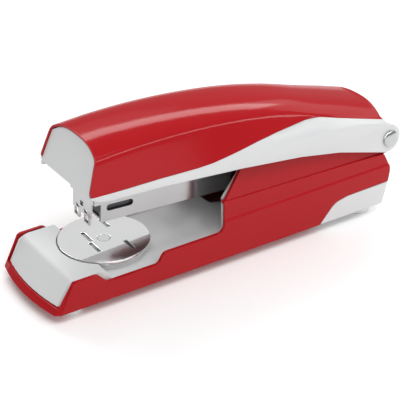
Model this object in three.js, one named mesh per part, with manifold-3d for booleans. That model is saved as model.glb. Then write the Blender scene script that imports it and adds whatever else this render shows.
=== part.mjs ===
// Full-strip desk stapler with a steel base, a hinged magazine, a hinged pressing arm and a turning anvil.
// Millimetres, +Z up, +X from the nose to the rear hinge, +Y across. Angles are in radians unless named.
import * as THREE from 'three';
import { mergeVertices } from 'three/addons/utils/BufferGeometryUtils.js';
import Module from 'manifold-3d';

const wasm = await Module();
wasm.setup();

// ---------------------------------------------------------------- driving dimensions
// hinge line, the datum of everything that swings
const pinX = 64.6;
const pinZ = 30.0;
const pinRadius = 2.0;
const domeRadius = 3.1;
const domeHeight = 1.2;
const boreGap = 0.08;
const spacerWall = 1.1;
const washerWall = 1.8;

// clearances
const gap = 0.3;
const fineGap = 0.15;

// base shell, pressed steel
const baseHalfWidth = 19.3;
const sheet = 1.2;
const footHeight = 3.6;
const noseCornerX = -70.7;
const noseBow = 2.5;
const noseTopX = -64.1;
const noseTopZ = 14.0;
const lipHeight = 1.9;
const lowRunZ = 10.4;
const midRunZ = 14.0;
const wallFrontX = -5.8;
const ledgeFrontZ = 25.4;
const ledgeRearZ = 23.7;
const slantTopX = 3.4;
const slantTopZ = 36.2;
const upperJog = 1.0;
const upperLean = 0.228;
const leanEndX = 40;
const earRadius = 4.5;
const rearNotchHalf = 10.6;
const rearNotchZ = 20.6;

// heel moulding
const heelFrontX = pinX - 29.4;
const heelTopZ = 12.1;

// rubber feet
const footRadius = 4.1;
const footStemRadius = 2.0;
const frontFootX = -62.5;
const rearFootX = pinX - 7.4;
const footY = baseHalfWidth - 6.4;

// liner moulding
const linerWall = 1.6;
const linerSideGap = 0.4;
const noseSetback = 0.3;
const postWall = 1.6;
const wellDepth = 1.6;
const wellGap = 0.4;
const noseDeckZ = 13.9;
const trayZ = 10.0;
const rearTrayZ = 14.0;
const trayRiseX = -12;
const trayRiseLength = 14;
const liningThickness = 1.1;
const liningLength = 15;

// screws that hold the liner to the shell
const screwPlaces = [-20, 22];
const screwRadius = 1.3;
const screwHeadRadius = 2.8;
const screwEndZ = 8.5;
const slotHalf = 0.35;

// anvil
const discX = -42.1;
const discRadius = 15.7;
const discTopZ = 14.3;
const discThickness = 0.8;
const seatThickness = 0.9;
const seatInset = 1.1;
const bossInset = 2.0;
const pivotHeadRadius = 2.1;
const pivotShankRadius = 1.4;
const washerThickness = 0.3;
const pivotHeadDepth = 0.5;
const washerRadius = 4.2;
const crownLength = 13;
const formerOffset = 5;
const formerHalf = 0.6;
const formerDepth = 0.45;
const closingShift = 0.5;
const closingLap = 0.4;
const pinningInside = 1;
const pinningReach = 5;

// magazine, drawn level along its own axis from the hinge, then tilted nose up
const magazineNoseX = -46.33;
const magazineNoseLift = 6.086;
const magazineHalfWidth = 7.6;
const magazineSheet = 0.8;
const magazineFloorZ = -10.7;
const magazineTopZ = 2.8;
const windowLength = 10;
const windowHeight = 2.3;
const windowFront = 2.1;
const windowZ = -5.9;
const bladeGap = 2.3;
const bladeThickness = 0.6;
const bladeLift = 0.5;
const bladeMargin = 1.3;
const stapleWire = 0.5;
const stapleLeg = 6.4;
const stripLength = 30;
const coreSheet = 0.6;
const coreRearX = -20;
const followerLength = 11;
const rodRadius = 0.9;
const coilRadius = 2.2;
const coilWire = 0.35;
const coilTurns = 14;
const bracketSheet = 1.2;
const bracketLength = 24;
const bracketRadius = 4.4;
const bracketFootX = -14;
const rivetRadius = 1.2;
const rivetHeadRadius = 2.1;
const rivetHeadHeight = 0.7;
const rivetPlaces = [-20.4, -12];
const rivetZ = -3;
const channelRearX = -3.6;
const nosePlateSheet = 0.7;
const noseCheekSheet = 0.7;
const noseCheekHeight = 7;
const noseFaceHalf = 6;
const noseLegReach = 1.6;
const noseLegHeight = 3;
const noseLegs = [1.6, 5.2];
const noseLegWindow = 0.7;
const noseHoleHalf = 1;
const noseSideHoleY = 2.6;

// arm
const armWall = 1.2;
const coverSheet = 0.9;
const armRearRadius = 5.3;
const nosePlateX = -55.4;
const nosePlateZ = 40.6;
const nosePlateRake = 0.35;
const nosePlateThickness = 1.4;
const webZ = 49.5;
const webThickness = 1.5;
const webRearX = -12;
const holderHeight = 3.2;
const holderLength = 7;
const holderMargin = 0.7;
const rearBridgeZ = 38.5;
const rearBridgeThickness = 1.2;
const bridgeFrontX = pinX - 23.6;
const bridgeLength = 9;
const leafThickness = 0.5;
const liftSpringHalf = 4.5;
const rearRoundSetback = 0.8;
const openRear = 12;

// ---------------------------------------------------------------- derived sizes
const floorTopZ = footHeight + sheet;
const innerHalf = baseHalfWidth - sheet;
const linerHalf = innerHalf - linerSideGap;
const rearX = pinX + 1.7;
const linerRearX = rearX - 6;
const armHalf = baseHalfWidth + 0.4;
const cheekInner = armHalf - armWall;
const upperOuterFront = baseHalfWidth - upperJog;
const upperOuterRear = baseHalfWidth - upperJog - 0.4;
const magazineTilt = Math.atan2(magazineNoseLift, pinX - magazineNoseX);
const magazineLength = Math.hypot(pinX - magazineNoseX, magazineNoseLift);
const magazineInner = magazineHalfWidth - magazineSheet;
const bladeHalfWidth = magazineHalfWidth - bladeMargin;
const channelFloorTop = magazineFloorZ + magazineSheet;
const stapleHalf = magazineInner - 0.35;
const coreHalf = stapleHalf - stapleWire - 0.45;
const coreBottom = channelFloorTop + fineGap;
const crownTop = coreBottom + stapleLeg;
const coreTop = crownTop - stapleWire - 0.6;
const bladeRearX = -magazineLength - 0.7;
const noseRearX = -magazineLength - bladeGap;
const discUnderZ = discTopZ - discThickness;
const seatTopZ = discUnderZ - washerThickness - 2 * fineGap;
const stripFrontX = -magazineLength + 0.2;
const followerFrontX = stripFrontX + stripLength + fineGap;
const followerRearX = followerFrontX + followerLength;
const formerZ = discTopZ - formerDepth;
const rodZ = coreBottom + coreSheet + coilRadius + coilWire + gap;
const armRearX = pinX - rearRoundSetback;
const cheekGuard = magazineHalfWidth + fineGap + noseCheekSheet;
const spacerInner = magazineHalfWidth + gap + bracketSheet + 0.2;
const spacerOuter = upperOuterRear - sheet - 0.2;
const washerInner = upperOuterRear + fineGap;
const washerOuter = cheekInner - fineGap;

// ---------------------------------------------------------------- geometry helpers
// Closed solid of a three.js geometry, with its shared corners merged.
function solid(geometry) {
  const bare = geometry.index ? geometry.toNonIndexed() : geometry.clone();
  bare.deleteAttribute('normal');
  bare.deleteAttribute('uv');
  const merged = mergeVertices(bare, 1e-4);
  const vertProperties = new Float32Array(merged.attributes.position.array);
  const triVerts = new Uint32Array(merged.index.array);
  return new wasm.Manifold(new wasm.Mesh({ numProp: 3, vertProperties, triVerts }));
}

function toGeometry(manifold) {
  const mesh = manifold.getMesh();
  const geometry = new THREE.BufferGeometry();
  geometry.setAttribute('position', new THREE.BufferAttribute(new Float32Array(mesh.vertProperties), 3));
  geometry.setIndex(new THREE.BufferAttribute(new Uint32Array(mesh.triVerts), 1));
  geometry.computeVertexNormals();
  return geometry;
}

// Closed outline through corners [a, b] or [a, b, radius], with the given corners rounded.
function outline(corners) {
  const shape = new THREE.Shape();
  corners.forEach((corner, i) => {
    const here = new THREE.Vector2(corner[0], corner[1]);
    const radius = corner[2] ?? 0;
    if (radius === 0) {
      if (i === 0) shape.moveTo(here.x, here.y);
      else shape.lineTo(here.x, here.y);
      return;
    }
    const before = corners[(i + corners.length - 1) % corners.length];
    const after = corners[(i + 1) % corners.length];
    const start = new THREE.Vector2(before[0], before[1]).sub(here).setLength(radius).add(here);
    const end = new THREE.Vector2(after[0], after[1]).sub(here).setLength(radius).add(here);
    if (i === 0) shape.moveTo(start.x, start.y);
    else shape.lineTo(start.x, start.y);
    shape.quadraticCurveTo(here.x, here.y, end.x, end.y);
  });
  shape.closePath();
  return shape;
}

// Side-view outline (X, Z) given a thickness along Y, from y0 to y1.
function sidePlate(shape, y0, y1, curveSegments = 5) {
  const geometry = new THREE.ExtrudeGeometry(shape, { depth: y1 - y0, bevelEnabled: false, curveSegments });
  geometry.rotateX(Math.PI / 2);
  geometry.translate(0, y1, 0);
  return geometry;
}

// Plan outline (X, Y) raised from z0 to z1.
function planSlab(shape, z0, z1, curveSegments = 5) {
  const geometry = new THREE.ExtrudeGeometry(shape, { depth: z1 - z0, bevelEnabled: false, curveSegments });
  geometry.translate(0, 0, z0);
  return geometry;
}

function box(x0, x1, y0, y1, z0, z1) {
  const geometry = new THREE.BoxGeometry(x1 - x0, y1 - y0, z1 - z0);
  geometry.translate((x0 + x1) / 2, (y0 + y1) / 2, (z0 + z1) / 2);
  return geometry;
}

function drumY(radius, x, z, y0, y1, sides = 20) {
  const geometry = new THREE.CylinderGeometry(radius, radius, y1 - y0, sides);
  geometry.translate(x, (y0 + y1) / 2, z);
  return geometry;
}

function drumZ(radius, x, y, z0, z1, sides = 20) {
  const geometry = new THREE.CylinderGeometry(radius, radius, z1 - z0, sides);
  geometry.rotateX(Math.PI / 2);
  geometry.translate(x, y, (z0 + z1) / 2);
  return geometry;
}

function drumX(radius, z, x0, x1, sides) {
  const geometry = new THREE.CylinderGeometry(radius, radius, x1 - x0, sides);
  geometry.rotateZ(Math.PI / 2);
  geometry.translate((x0 + x1) / 2, 0, z);
  return geometry;
}

// Moves every vertex of a geometry by a rule given as (point) => void.
function reshape(geometry, rule) {
  const position = geometry.attributes.position;
  const point = new THREE.Vector3();
  for (let i = 0; i < position.count; i += 1) {
    point.fromBufferAttribute(position, i);
    rule(point);
    position.setXYZ(i, point.x, point.y, point.z);
  }
  return geometry;
}

function join(geometries) {
  return geometries.map(solid).reduce((sum, next) => sum.add(next));
}

function cut(manifold, geometries) {
  return geometries.reduce((rest, geometry) => rest.subtract(solid(geometry)), manifold);
}

function mirrorY(geometry) {
  const flipped = geometry.index ? geometry.toNonIndexed() : geometry.clone();
  const position = flipped.attributes.position;
  for (let i = 0; i < position.count; i += 3) {
    const corners = [0, 1, 2].map((k) => new THREE.Vector3().fromBufferAttribute(position, i + k));
    corners.reverse().forEach((corner, k) => position.setXYZ(i + k, corner.x, -corner.y, corner.z));
  }
  return flipped;
}

// Smooth curve through a table of [station, value], level beyond its ends.
function interpolate(table, x) {
  const last = table.length - 1;
  if (x <= table[0][0]) return table[0][1];
  if (x >= table[last][0]) return table[last][1];
  const slope = (i) => {
    const before = table[Math.max(i - 1, 0)];
    const after = table[Math.min(i + 1, last)];
    return (after[1] - before[1]) / (after[0] - before[0]);
  };
  const i = table.findIndex(([station]) => station >= x);
  const [x0, value0] = table[i - 1];
  const [x1, value1] = table[i];
  const t = (x - x0) / (x1 - x0);
  const rise0 = slope(i - 1) * (x1 - x0);
  const rise1 = slope(i) * (x1 - x0);
  const blend = t * t * (3 - 2 * t);
  return value0 + (value1 - value0) * blend + rise0 * t * (1 - t) ** 2 - rise1 * t * t * (1 - t);
}

// ---------------------------------------------------------------- materials
const finishes = {
  red: { color: 0xc4242b, roughness: 0.28, metalness: 0.1 },
  lightGrey: { color: 0xd6d7d8, roughness: 0.5, metalness: 0.0 },
  steel: { color: 0xc9cbcd, roughness: 0.22, metalness: 1.0 },
  darkSteel: { color: 0x6d6f72, roughness: 0.4, metalness: 1.0 },
  rubber: { color: 0xe6e7e6, roughness: 0.7, metalness: 0.0 },
};

function piece(name, shape, finish) {
  const geometry = shape.isBufferGeometry ? shape : toGeometry(shape);
  const mesh = new THREE.Mesh(geometry, new THREE.MeshStandardMaterial(finishes[finish]));
  mesh.name = name;
  return mesh;
}

// ---------------------------------------------------------------- base
// Plan of the base, bowed at the nose and inset all round; its raked face ends on a straight ridge.
function basePlan(inset, z0, z1, frontInset = inset) {
  const half = baseHalfWidth - inset;
  const front = noseCornerX + frontInset;
  const ridge = noseTopX + frontInset;
  const nose = new THREE.Shape();
  const steps = 10;
  nose.moveTo(rearX + 2 - inset, -half);
  nose.lineTo(rearX + 2 - inset, half);
  nose.lineTo(front + 1.6, half);
  for (let i = 0; i <= steps; i += 1) {
    const y = (half - 1.1) * (1 - (2 * i) / steps);
    nose.lineTo(front - noseBow * (1 - (y / half) ** 2), y);
  }
  nose.lineTo(front + 1.6, -half);
  nose.closePath();
  const slab = planSlab(nose, z0, z1, 1);
  return reshape(slab, (p) => {
    if (p.x < 0) p.x += ((ridge - p.x) * (p.z - footHeight)) / (noseTopZ - footHeight);
  });
}

// Side view of the lower base: low at the nose, dipped beside the anvil, tall behind the throat.
function baseSide(inset = 0) {
  return outline([
    [noseCornerX - noseBow - 8, footHeight - 4],
    [noseTopX - noseBow - 8, noseTopZ - inset],
    [-55.2, noseTopZ + 0.2 - inset, 1.2],
    [-51.6, lowRunZ - inset, 1.2],
    [-32.3, lowRunZ - inset, 1.2],
    [-30.0, midRunZ - inset, 1.2],
    [wallFrontX - 0.2, midRunZ - inset, 3.2],
    [wallFrontX, ledgeFrontZ - inset],
    [pinX - 1.4, ledgeRearZ - inset, 1.0],
    [rearX, 17.6, 2],
    [rearX - 0.9, heelTopZ, 2],
    [rearX - 2.8, footHeight + 1.4, 1.2],
    [rearX - 4.8, footHeight - 4],
  ]);
}

// Region of the heel, grown or shrunk by a margin.
function heelSide(margin) {
  return outline([
    [heelFrontX - margin, footHeight - 5],
    [heelFrontX - margin, footHeight + 0.4],
    [heelFrontX + 6 - margin, 10.6 + margin, 2.5],
    [heelFrontX + 12, 11.7 + margin],
    [rearX + 5, heelTopZ + 0.1 + margin],
    [rearX + 5, footHeight - 5],
  ]);
}

function baseTub() {
  const outer = solid(basePlan(0, footHeight, 40)).intersect(solid(sidePlate(baseSide(), -25, 25)));
  const inside = outline([
    [noseCornerX - 20, floorTopZ],
    [rearX - 4.2, floorTopZ],
    [rearX - sheet - 1.0, heelTopZ],
    [rearX - sheet - 0.1, 17.6],
    [pinX - 1.4 - sheet, ledgeRearZ - sheet],
    [pinX - 1.4 - sheet, 45],
    [noseCornerX - 20, 45],
  ]);
  const hollow = solid(basePlan(sheet, footHeight, 45)).intersect(solid(sidePlate(inside, -25, 25)));
  const mouth = box(noseCornerX - 12, noseTopX + 4, -innerHalf, innerHalf, footHeight + lipHeight, 30);
  const notch = box(rearX - 9, rearX + 3, -rearNotchHalf, rearNotchHalf, rearNotchZ, 45);
  return cut(outer.subtract(hollow), [mouth, notch]);
}

// Outer face of the upper wall: inset from the lower wall and leaning inward towards the throat.
function upperOffset(x, z) {
  const slide = THREE.MathUtils.clamp((x - slantTopX) / (leanEndX - slantTopX), 0, 1);
  const outer = upperOuterFront + (upperOuterRear - upperOuterFront) * slide;
  return outer - baseHalfWidth - upperLean * (1 - slide) * Math.max(0, z - ledgeFrontZ);
}

// A plate standing inside the tall wall, moved to follow the leaning upper wall.
function leaningPlate(shape, inset, thickness) {
  const plate = sidePlate(shape, baseHalfWidth - inset - thickness, baseHalfWidth - inset);
  return reshape(plate, (p) => {
    p.y += upperOffset(p.x, p.z);
  });
}

// Upper wall: slanted front edge, top edge hidden inside the arm, round ear about the hinge pin.
function upperWallShape() {
  const shape = new THREE.Shape();
  shape.moveTo(wallFrontX + 0.7, ledgeFrontZ - 0.5 * sheet);
  shape.lineTo(wallFrontX + 0.7, ledgeFrontZ);
  shape.lineTo(slantTopX, slantTopZ - 0.6);
  shape.lineTo(slantTopX + 0.9, slantTopZ + 0.6);
  shape.lineTo(24, 34.6);
  shape.lineTo(42, 31.7);
  shape.lineTo(pinX - 8, pinZ + 0.6);
  shape.lineTo(pinX - 3.2, pinZ + Math.sqrt(earRadius ** 2 - 3.2 ** 2));
  shape.absarc(pinX, pinZ, earRadius, Math.PI - Math.acos(3.2 / earRadius), -0.6, true);
  shape.lineTo(pinX + 1.6, ledgeRearZ);
  shape.lineTo(pinX - 1.8, ledgeRearZ - 0.5 * sheet);
  shape.closePath();
  return shape;
}

function ledgeShape() {
  return outline([
    [wallFrontX, ledgeFrontZ - sheet],
    [wallFrontX, ledgeFrontZ],
    [pinX - 1.4, ledgeRearZ],
    [pinX - 0.9, ledgeRearZ - sheet],
  ]);
}

function baseShell() {
  const wall = leaningPlate(upperWallShape(), 0, sheet);
  const ledge = sidePlate(ledgeShape(), upperOuterRear - sheet, baseHalfWidth - 0.2);
  const upper = join([wall, mirrorY(wall), ledge, mirrorY(ledge)]);
  const shell = baseTub().add(upper).subtract(solid(sidePlate(heelSide(fineGap), -25, 25)));
  const footHoles = [-footY, footY].map((y) => drumZ(footStemRadius + boreGap, frontFootX, y, 0, 9));
  const screwHoles = screwPlaces.map((x) => drumZ(screwRadius + 0.3, x, 0, 0, 9, 12));
  return cut(shell, [
    ...footHoles,
    ...screwHoles,
    drumY(pinRadius + boreGap, pinX, pinZ, -25, 25),
  ]);
}

function baseHeel() {
  const heel = baseTub().intersect(solid(sidePlate(heelSide(-fineGap), -25, 25)));
  return cut(heel, [-footY, footY].map((y) => drumZ(footStemRadius + boreGap, rearFootX, y, 0, 9)));
}

// ---------------------------------------------------------------- liner
// Side view of the tray behind the nose deck: level beside the anvil, then a step up under the magazine.
function trayProfile(drop) {
  return [
    [trayRiseX, trayZ - drop, 3],
    [trayRiseX + trayRiseLength, rearTrayZ - drop, 3],
    [linerRearX - drop, rearTrayZ - drop],
  ];
}

function linerBody() {
  const side = outline([
    [noseCornerX + 5, floorTopZ + gap],
    [noseCornerX + 4, footHeight + lipHeight + gap],
    [noseCornerX - noseBow - 9, footHeight + lipHeight + gap],
    [noseTopX - noseBow - 9, noseDeckZ],
    [-51.6, noseDeckZ],
    [-49.6, trayZ, 1.2],
    ...trayProfile(0),
    [linerRearX, floorTopZ + gap],
  ]);
  const under = outline([
    [noseTopX - 3, floorTopZ - 3],
    [noseTopX, trayZ - linerWall],
    ...trayProfile(linerWall),
    [linerRearX - linerWall, floorTopZ - 3],
  ]);
  const plan = solid(basePlan(sheet + linerSideGap, footHeight, 30, noseSetback));
  const body = solid(sidePlate(side, -linerHalf, linerHalf)).intersect(plan);
  return body.subtract(solid(sidePlate(under, -linerHalf + linerWall, linerHalf - linerWall)));
}

// Lining strip behind the front edge of each tall wall.
function liningShape() {
  return outline([
    [wallFrontX + 0.9, rearTrayZ - 3.5],
    [wallFrontX + 0.9, ledgeFrontZ],
    [slantTopX - 0.4, slantTopZ - 3.2],
    [slantTopX + 3, slantTopZ - 3.2],
    [wallFrontX + liningLength, ledgeFrontZ - 2],
    [wallFrontX + liningLength, rearTrayZ - 3.5],
  ]);
}

function baseLiner() {
  const wellZ = discTopZ - discThickness - wellDepth;
  const boss = drumZ(discRadius - bossInset, discX, 0, trayZ - 1, wellZ, 40);
  const post = drumZ(pivotShankRadius + postWall, discX, 0, floorTopZ + gap, trayZ, 16);
  const screwPosts = screwPlaces.map((x) => {
    const roof = x > trayRiseX + trayRiseLength ? rearTrayZ : trayZ;
    return drumZ(screwRadius + postWall, x, 0, floorTopZ + gap, roof - 0.5, 16);
  });
  const lining = leaningPlate(liningShape(), sheet + upperOuterFront - upperOuterRear + gap, liningThickness);
  const body = linerBody().add(join([boss, post, ...screwPosts, lining, mirrorY(lining)]));
  return cut(body, [
    drumZ(discRadius + wellGap, discX, 0, wellZ, 30, 40),
    drumZ(pivotShankRadius + fineGap, discX, 0, 0, 30, 16),
    ...screwPlaces.map((x) => drumZ(screwRadius + fineGap, x, 0, 0, 9, 12)),
  ]);
}

// Pan-head screw driven up through the floor into a post of the liner.
function linerScrew(x) {
  const head = drumZ(screwHeadRadius, x, 0, footHeight - 1.6, footHeight - fineGap, 20);
  const shank = drumZ(screwRadius, x, 0, footHeight - 1, screwEndZ, 12);
  const drive = [box(x - 1.7, x + 1.7, -slotHalf, slotHalf, 0, footHeight - 0.9)];
  return cut(join([head, shank]), drive);
}

// Rubber foot: round pad with a stem pressed up through the floor.
function foot(x, y) {
  const profile = [
    [0, 0],
    [footRadius - 0.6, 0],
    [footRadius, 0.6],
    [footRadius, footHeight - fineGap],
    [footStemRadius, footHeight - fineGap],
    [footStemRadius, floorTopZ + 0.1],
    [0, floorTopZ + 0.1],
  ].map(([r, z]) => new THREE.Vector2(r, z));
  const geometry = new THREE.LatheGeometry(profile, 24);
  geometry.rotateX(Math.PI / 2);
  geometry.translate(x, y, 0);
  return solid(geometry);
}

// ---------------------------------------------------------------- anvil
// Shallow pocket across the disc's face, from one distance off the middle to another, on one side.
function formerPocket(x, side, inner, outer) {
  const y0 = Math.min(side * inner, side * outer);
  const y1 = Math.max(side * inner, side * outer);
  return box(x - formerHalf, x + formerHalf, y0, y1, formerZ, discTopZ + 1);
}

// The two closing formers lie side by side like a flattened S, so both legs fold inwards.
function closingPocket(side) {
  const x = discX - formerOffset + closingShift * side;
  return formerPocket(x, side, closingLap, closingLap + crownLength / 2);
}

// The pinning formers lie further out and turn the legs outwards.
function pinningPocket(side) {
  const x = discX + formerOffset;
  return formerPocket(x, side, crownLength / 2 - pinningInside, crownLength / 2 + pinningReach);
}

// Turning plate with two sets of formers: one closes the legs, the other opens them for pinning.
function anvilDisc() {
  const disc = solid(drumZ(discRadius, discX, 0, discUnderZ, discTopZ, 56));
  return cut(disc, [
    ...[-1, 1].map(closingPocket),
    ...[-1, 1].map(pinningPocket),
    drumZ(pivotShankRadius + fineGap, discX, 0, 0, 30, 16),
    drumZ(pivotHeadRadius + fineGap, discX, 0, discTopZ - pivotHeadDepth, 30, 24),
  ]);
}

function anvilSeat() {
  const plate = solid(drumZ(discRadius - seatInset, discX, 0, seatTopZ - seatThickness, seatTopZ, 48));
  return cut(plate, [drumZ(pivotShankRadius + fineGap, discX, 0, 0, 30, 16)]);
}

function anvilWasher() {
  const washer = solid(drumZ(washerRadius, discX, 0, seatTopZ + fineGap, discUnderZ - fineGap, 24));
  return cut(washer, [drumZ(pivotShankRadius + fineGap, discX, 0, 0, 30, 16)]);
}

function anvilPivot() {
  const head = drumZ(pivotHeadRadius, discX, 0, discTopZ - pivotHeadDepth + 0.05, discTopZ, 24);
  const shank = drumZ(pivotShankRadius, discX, 0, floorTopZ + gap, discTopZ - 0.3, 16);
  return join([head, shank]);
}

// ---------------------------------------------------------------- hinge
function hingePin() {
  const end = armHalf + fineGap;
  const arc = (sign) => [0, 1, 2, 3, 4].map((i) => {
    const angle = (i / 4) * (Math.PI / 2);
    return [domeRadius * Math.cos(angle), sign * (end + 0.2 + (domeHeight - 0.2) * Math.sin(angle))];
  });
  const upper = [[pinRadius, end], [domeRadius, end], ...arc(1).slice(0, -1), [0, end + domeHeight]];
  const lower = [
    [0, -end - domeHeight],
    ...arc(-1).slice(0, -1).reverse(),
    [domeRadius, -end],
    [pinRadius, -end],
  ];
  const profile = [...lower, ...upper].map(([r, y]) => new THREE.Vector2(r, y));
  const geometry = new THREE.LatheGeometry(profile, 24);
  geometry.translate(pinX, 0, pinZ);
  return solid(geometry);
}

// Loose tube on the pin, between two distances from the middle, on one side.
function hingeTube(outerRadius, side, inner, outer) {
  const y0 = Math.min(side * inner, side * outer);
  const y1 = Math.max(side * inner, side * outer);
  const tube = solid(drumY(outerRadius, pinX, pinZ, y0, y1, 24));
  return cut(tube, [drumY(pinRadius + boreGap, pinX, pinZ, y0 - 1, y1 + 1)]);
}

// ---------------------------------------------------------------- magazine
function magazineChannel() {
  const front = -magazineLength;
  const outer = box(front, channelRearX, -magazineHalfWidth, magazineHalfWidth, magazineFloorZ, magazineTopZ);
  const inner = box(front - 1, 0, -magazineInner, magazineInner, channelFloorTop, magazineTopZ + 1);
  const exit = box(front - 1, front + 0.6, -magazineInner, magazineInner, -20, 0);
  const windowMid = front + windowFront + windowLength / 2;
  const reach = windowLength / 2;
  const rise = windowHeight / 2;
  const slot = sidePlate(outline([
    [windowMid - reach, windowZ - rise, rise],
    [windowMid + reach, windowZ - rise, rise],
    [windowMid + reach, windowZ + rise, rise],
    [windowMid - reach, windowZ + rise, rise],
  ]), -20, 20, 3);
  return cut(solid(outer), [inner, exit, slot, ...rivetBores()]);
}

function rivetBores() {
  return rivetPlaces.map((x) => drumY(rivetRadius + fineGap, x, rivetZ, -20, 20, 12));
}

// Folded front of the magazine: the blade runs down between it and the channel.
function magazineNosePlate() {
  const half = magazineHalfWidth;
  const frontX = noseRearX - nosePlateSheet;
  const cheekZ = magazineFloorZ + noseCheekHeight;
  const toeZ = magazineFloorZ - noseLegReach;
  const legTopZ = toeZ + noseLegHeight;
  const [legInner, legOuter] = noseLegs;
  const face = box(frontX, noseRearX, -noseFaceHalf, noseFaceHalf, legTopZ - 0.2, magazineTopZ);
  const leg = box(frontX, noseRearX, legInner, legOuter, toeZ, legTopZ);
  const band = box(frontX, noseRearX, -half, half, cheekZ, magazineTopZ);
  const cheek = box(noseRearX, -magazineLength + 3, half + fineGap, cheekGuard, cheekZ, magazineTopZ);
  const bridge = box(noseRearX - 0.4, noseRearX + 0.7, magazineInner, cheekGuard, cheekZ, magazineTopZ);
  const plate = join([face, band, leg, mirrorY(leg), cheek, mirrorY(cheek), bridge, mirrorY(bridge)]);
  const punch = (y, y1, z, z1) => box(frontX - 1, noseRearX + 0.3, y, y1, z, z1);
  const legWindow = punch(legInner + noseLegWindow, legOuter - noseLegWindow, toeZ + 0.6, legTopZ + 0.1);
  const [sideIn, sideOut] = [noseSideHoleY - noseHoleHalf, noseSideHoleY + noseHoleHalf];
  const sideHole = punch(sideIn, sideOut, legTopZ + 0.6, legTopZ + 1.8);
  const middleHole = punch(-noseHoleHalf, noseHoleHalf, legTopZ + 2.2, legTopZ + 3.9);
  return cut(plate, [legWindow, mirrorY(legWindow), sideHole, mirrorY(sideHole), middleHole]);
}

// Inner rail: the strip rides on it like a saddle, and the rod and coil lie in its trough.
function magazineCore() {
  const front = -magazineLength + 1.1;
  const outer = box(front, coreRearX, -coreHalf, coreHalf, coreBottom, coreTop);
  const half = coreHalf - coreSheet;
  const floor = coreBottom + coreSheet;
  const inner = box(front + coreSheet, coreRearX - coreSheet, -half, half, floor, coreTop + 1);
  return cut(solid(outer), [inner]);
}

function stapleSaddle(x0, x1, half, thickness, bottom, top) {
  const outer = box(x0, x1, -half, half, bottom, top);
  const inner = box(x0 - 1, x1 + 1, -half + thickness, half - thickness, bottom - 1, top - thickness);
  return cut(solid(outer), [inner]);
}

function stapleStrip() {
  const rear = stripFrontX + stripLength;
  return stapleSaddle(stripFrontX, rear, stapleHalf, stapleWire, coreBottom + 0.1, crownTop);
}

// Pusher: a saddle over the core, with a tongue inside it that the rod passes through.
function follower() {
  const front = followerFrontX;
  const rear = followerRearX;
  const top = crownTop + 0.9;
  const capHalf = stapleHalf - 0.1;
  const tongueHalf = coreHalf - coreSheet - 0.5;
  const saddle = stapleSaddle(front, rear, stapleHalf, 0.35, coreBottom + 0.2, top);
  const cap = box(front, rear, -capHalf, capHalf, coreTop + 0.3, top);
  const tongue = box(front, rear, -tongueHalf, tongueHalf, coreBottom + coreSheet + 0.4, coreTop + 1);
  const rodHole = drumX(rodRadius + 0.3, rodZ, front - 1, rear + 1, 12);
  return cut(saddle.add(join([cap, tongue])), [rodHole]);
}

function followerRod() {
  return drumX(rodRadius, rodZ, -magazineLength + 2.2, coreRearX - coreSheet - 0.4, 12);
}

class Coil extends THREE.Curve {
  constructor(x0, x1, turns) {
    super();
    Object.assign(this, { x0, x1, turns });
  }

  getPoint(t) {
    const angle = t * this.turns * 2 * Math.PI;
    const x = this.x0 + (this.x1 - this.x0) * t;
    return new THREE.Vector3(x, coilRadius * Math.cos(angle), rodZ + coilRadius * Math.sin(angle));
  }
}

function followerSpring() {
  const path = new Coil(followerRearX + coilWire + 0.1, coreRearX - coreSheet - coilWire - 0.1, coilTurns);
  const wire = new THREE.Shape();
  wire.absarc(0, 0, coilWire, 0, 2 * Math.PI, false);
  return new THREE.ExtrudeGeometry(wire, {
    steps: coilTurns * 8,
    curveSegments: 3,
    extrudePath: path,
    bevelEnabled: false,
  });
}

// Hinge bracket: two cheeks on the pin, joined by a strap under the channel.
function magazineBracket() {
  const inside = magazineHalfWidth + gap;
  const strapTop = magazineFloorZ - gap;
  const strapZ = strapTop - bracketSheet;
  const cheekShape = new THREE.Shape();
  cheekShape.moveTo(-bracketLength, strapZ);
  cheekShape.lineTo(bracketFootX, strapZ);
  cheekShape.lineTo(bracketRadius * Math.cos(-0.9), bracketRadius * Math.sin(-0.9));
  cheekShape.absarc(0, 0, bracketRadius, -0.9, Math.PI * 0.6, false);
  cheekShape.lineTo(-bracketLength, magazineTopZ - 1);
  cheekShape.closePath();
  const cheek = sidePlate(cheekShape, inside, inside + bracketSheet);
  const strap = box(-bracketLength, bracketFootX, -inside - 0.5, inside + 0.5, strapZ, strapTop);
  return cut(join([cheek, mirrorY(cheek), strap]), [
    drumY(pinRadius + boreGap, 0, 0, -20, 20),
    ...rivetBores(),
  ]);
}

// Short rivet through one side of the bracket and the channel wall.
function magazineRivet(x, side) {
  const outside = magazineHalfWidth + gap + bracketSheet;
  const seat = outside + fineGap;
  const head = drumY(rivetHeadRadius, x, rivetZ, seat, seat + rivetHeadHeight, 16);
  const shank = drumY(rivetRadius, x, rivetZ, magazineInner - 0.4, outside + 0.3, 12);
  const rivet = join([head, shank]);
  return side > 0 ? rivet : solid(mirrorY(toGeometry(rivet)));
}

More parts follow.
